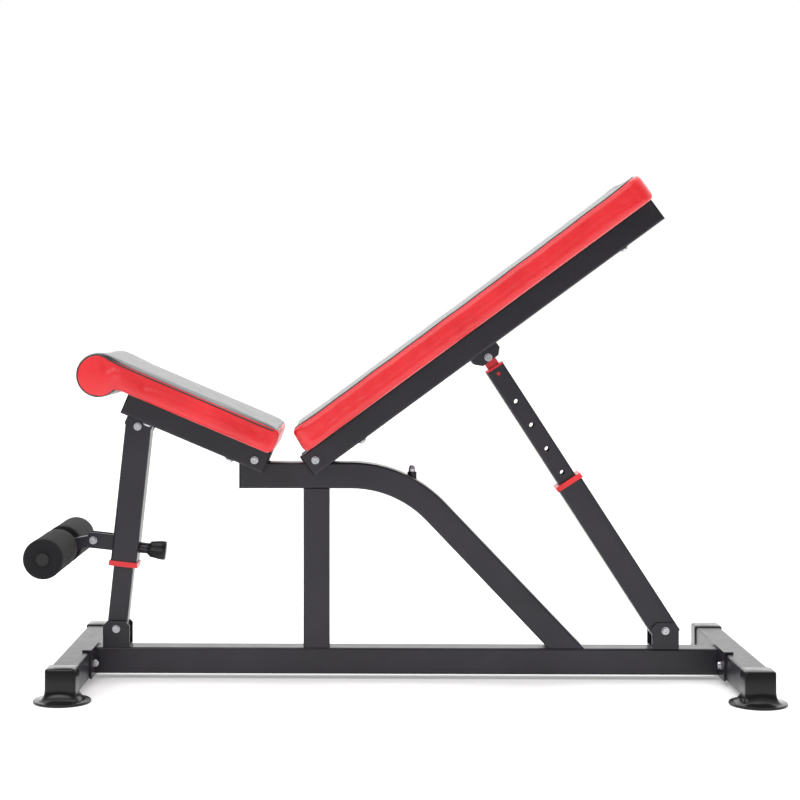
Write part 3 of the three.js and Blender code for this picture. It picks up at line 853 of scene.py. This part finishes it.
def add_back_pad():
    """Red sides that wrap over the top edge to a piped black panel with soft puckers."""
    x0, x1, low, high = BACK_PAD
    outline = rounded_rectangle(x0 + SHRINK, x1 - SHRINK, PAD_HALF - SHRINK, 24)
    bm = extrude_outline("back_pad_cover", outline, low, high, lambda a, b, t: (a, b, t))
    bevel_all(bm, lambda e: abs(e.verts[0].co.z - e.verts[1].co.z) < 0.1
              and e.verts[0].co.z > high - 10, 7)
    bevel_all(bm, lambda e: abs(e.verts[0].co.z - e.verts[1].co.z) < 0.1
              and e.verts[0].co.z < low + 0.1, 4, 3)
    obj = soft_mesh("back_pad_cover", bm, 4.5)
    puff(obj, lambda co: co.z < low + 4, PUFF_CAP, PRESSURE)

    def shape(co):
        across = min(1, abs(co.y) / PAD_HALF)
        level = min(1, max(0, (co.z - low) / (high - low)))
        wedge = BACK_WEDGE * level * max(0, (co.x - x0) / (x1 - x0)) ** 3
        lean = LEAN * level * max(0, (co.x - x1 + 60) / 60)
        bulge = 1 + 0.008 * math.sin(math.pi * level)
        ripple = (0.7 * math.sin(co.x / 17) * math.sin(co.x / 53 + 1)) * across ** 4
        drape = 0.5 * math.sin(co.x / 11 + co.z / 9) * math.sin(co.x / 71)
        drape *= math.sin(math.pi * level)
        y = co.y * bulge + math.copysign(drape * across ** 6, co.y)
        return Vector((co.x + lean, y, max(co.z + wedge + ripple * level, low)))

    pad = finish_pad(obj, BACK, vinyl("back_pad_vinyl", back_mask), "backrest", shape)
    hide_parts("back_pad")
    seam = [(a, b, high) for a, b in rounded_rectangle(
        x0 + BACK_BORDER, x1 - BACK_BORDER, PAD_HALF - BACK_BORDER, PANEL_CORNER)]
    line = seam_path(pad, resample(seam, SEAM_STEP), lambda point: Vector((0, 0, -1)))
    welt("back_pad_welt", line, WELT_R, BACK, BLACK_VINYL, "backrest")


def add_seat_pad():
    """Red side faces, and a black panel that runs over the top and round the roll."""
    low, high = SEAT_PAD_Z
    bm = extrude_outline("seat_pad_cover", seat_outline(-1.0), SHRINK - PAD_HALF, PAD_HALF - SHRINK,
                         lambda a, b, t: (a, t, b))
    bevel_all(bm, lambda e: abs(e.verts[0].co.y - e.verts[1].co.y) < 0.1, 4)
    obj = soft_mesh("seat_pad_cover", bm, 4.2)
    puff(obj, lambda co: abs(co.z - low) < 4 and co.x > ROLL[0] + 40, PUFF_CAP, PRESSURE)

    def shape(co):
        across = min(1, abs(co.y) / PAD_HALF)
        along = min(1, max(0, (SEAT_REAR - co.x) / 80)) * min(1, max(0, (co.x - ROLL[0]) / 90))
        crown = 2.0 * (1 - across ** 2.5) * along if co.z > high - 12 else 0
        level = min(1, max(0, (co.z - low) / (high - low)))
        lean = LEAN * level * max(0, (co.x - SEAT_REAR + 60) / 60)
        return Vector((co.x + lean, co.y, co.z + crown))

    pad = finish_pad(obj, SEAT, vinyl("seat_pad_vinyl", seat_mask), "seat", shape)
    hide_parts("seat_pad")
    welt("seat_pad_welt", seat_seam(pad), WELT_R, SEAT, BLACK_VINYL, "seat", False)


def seat_seam(pad):
    """Along the near edge from under the roll, across the rear, and back along the far edge."""
    limit = SEAT_PAD_Z[1] - EDGE
    y = PAD_HALF - EDGE
    spine = Vector((ROLL[0], 0, ROLL[1]))
    outline = [p for p in seat_outline(0.0)[3:] if p[1] > limit - 0.1 or p[0] < ROLL[0] + 20]
    outline.reverse()

    def inward(point):
        if point[0] > ROLL[0]:
            return Vector((0, 0, -1 if point[2] > ROLL[1] else 1))
        return Vector((spine.x - point[0], 0, spine.z - point[2])).normalized()

    near = resample([(a, -y, b) for a, b in outline], SEAM_STEP, closed=False)
    rear = resample([(SEAT_REAR, t, limit) for t in (-y + 4, y - 4)], SEAM_STEP,
                    closed=False)
    near_line = seam_path(pad, near, inward, closed=False)
    rear_line = seam_path(pad, rear, lambda point: Vector((-1, 0, 0)), closed=False)
    far_line = [Vector((p.x, -p.y, p.z)) for p in reversed(near_line)]
    return smoothed(near_line + rear_line + far_line, closed=False, rounds=3)


# ---- Small trim -----------------------------------------------------------------
def add_trim():
    """Rail end plugs and the screws that hold the pads."""
    depth_middle = {"backrest": 0.0, "seat": SEAT_RAIL_BOTTOM + RAIL_DEPTH / 2}
    ends = {"backrest": (BACK, BACK_RAIL), "seat": (SEAT, SEAT_RAIL)}
    for body, (matrix, span) in ends.items():
        for side, place in ((-1, "near"), (1, "far")):
            y = side * (RAIL_IN + RAIL_OUT) / 2
            z = depth_middle[body]
            for x, sign, end in ((span[0], -1, "lower"), (span[1], 1, "upper")):
                xs = sorted((x - sign * 10, x + sign * 2.2))
                name = f"{body}_rail_plug_{place}_{end}"
                inner = box_mesh(name, (xs[0], y - 8.4, z - 20), (xs[1], y + 8.4, z + 20), 1, 2)
                face = sorted((x + sign * 0.3, x + sign * 2.6))
                flange = box_mesh(name + "_f", (face[0], y - 10.85, z - 22.5),
                                  (face[1], y + 10.85, z + 22.5), 0.9, 3)
                mesh = join_solids(name, inner, flange)
                new_object(name, mesh, matrix, BLACK, body, 30)
    screws = {"backrest": (BACK, (94, 708), -RAIL_DEPTH / 2),
              "seat": (SEAT, (-45, -215), SEAT_RAIL_BOTTOM)}
    profile = [(0, 0), (8.5, 0), (9, -0.5), (9, -1.2), (7.2, -1.5), (6.6, -3.6), (4.4, -5.0),
               (0, -5.4)]
    for body, (matrix, places, z) in screws.items():
        for x, end in zip(places, ("lower", "upper")):
            for side, place in ((-1, "near"), (1, "far")):
                y = side * (RAIL_IN + RAIL_OUT) / 2
                name = f"{body}_pad_screw_{place}_{end}"
                mesh = turned_mesh(name, profile, 40)
                new_object(name, mesh, matrix @ Matrix.Translation((x, y, z - 0.1)), ZINC, body,
                           35)


# ---- Stage, light and camera ----------------------------------------------------
WORLD_DIM = 0.22
WORLD_BRIGHT = 1.6
BRIGHT_SIDE = (0, 0.8, 0.6)        # unit direction towards the brightest part of the studio
CAMERA_PLACE = (-0.0678, -3.3621, 0.6713)
CAMERA_YAW = 0.0171
CAMERA_LENS = 78.7
CAMERA_SHIFT = (0.0836, -0.0905)


def add_stage():
    """A plain pale floor, and the studio around it."""
    mesh = box_mesh("floor", (-30, -30, -0.05), (30, 30, 0))
    floor = bpy.data.objects.new("floor", mesh)
    SCENE.collection.objects.link(floor)
    n = Nodes("studio_floor")
    n.set(Base_Color=(0.93, 0.93, 0.93, 1), Roughness=0.9)
    n.shader.inputs["Emission Color"].default_value = (1, 1, 1, 1)
    n.shader.inputs["Emission Strength"].default_value = 0.25
    mesh.materials.append(n.material)
    add_world()


def add_world():
    """White to the camera. As light it is dim in front of the bench and bright behind it."""
    world = bpy.data.worlds.new("studio")
    world.use_nodes = True
    tree = world.node_tree
    background = tree.nodes["Background"]
    background.inputs["Color"].default_value = (1, 1, 1, 1)
    coordinates = tree.nodes.new("ShaderNodeTexCoord")
    toward = tree.nodes.new("ShaderNodeVectorMath")
    toward.operation = "DOT_PRODUCT"
    toward.inputs[1].default_value = BRIGHT_SIDE
    level = tree.nodes.new("ShaderNodeMapRange")
    level.interpolation_type = "SMOOTHSTEP"
    level.inputs["From Min"].default_value = -0.5
    level.inputs["From Max"].default_value = 0.8
    level.inputs["To Min"].default_value = WORLD_DIM
    level.inputs["To Max"].default_value = WORLD_BRIGHT
    path = tree.nodes.new("ShaderNodeLightPath")
    choose = tree.nodes.new("ShaderNodeMix")
    choose.data_type = "FLOAT"
    tree.links.new(coordinates.outputs["Generated"], toward.inputs[0])
    tree.links.new(toward.outputs["Value"], level.inputs["Value"])
    tree.links.new(path.outputs["Is Camera Ray"], choose.inputs[0])
    tree.links.new(level.outputs["Result"], choose.inputs[2])
    choose.inputs[3].default_value = 1.0
    tree.links.new(choose.outputs[0], background.inputs["Strength"])
    SCENE.world = world


def add_light(name, place, target, size, power):
    """A soft rectangular light that faces its target."""
    data = bpy.data.lights.new(name, "AREA")
    data.shape = "RECTANGLE"
    data.size = size[0]
    data.size_y = size[1]
    data.energy = power
    light = bpy.data.objects.new(name, data)
    light.location = place
    direction = Vector(target) - Vector(place)
    light.rotation_euler = direction.to_track_quat("-Z", "Y").to_euler()
    SCENE.collection.objects.link(light)


def add_camera():
    """A level view from the near side."""
    data = bpy.data.cameras.new("camera")
    data.lens = CAMERA_LENS
    data.sensor_width = 36
    data.shift_x, data.shift_y = CAMERA_SHIFT
    camera = bpy.data.objects.new("camera", data)
    camera.location = CAMERA_PLACE
    camera.rotation_euler = (math.pi / 2, 0, CAMERA_YAW)
    SCENE.collection.objects.link(camera)
    SCENE.camera = camera


paint_cad_nodes()
add_bolts()
add_lug_bolts()
add_feet()
add_knobs()
add_rollers()
add_back_pad()
add_seat_pad()
add_trim()
add_stage()
add_light("key", (-1.2, -2.4, 2.6), (0, 0, 0.4), (1.6, 1.6), 34)
add_light("top", (0.3, 0.8, 2.8), (0, 0, 0.4), (2.5, 2.5), 25)
add_camera()
SCENE.view_settings.view_transform = "Standard"
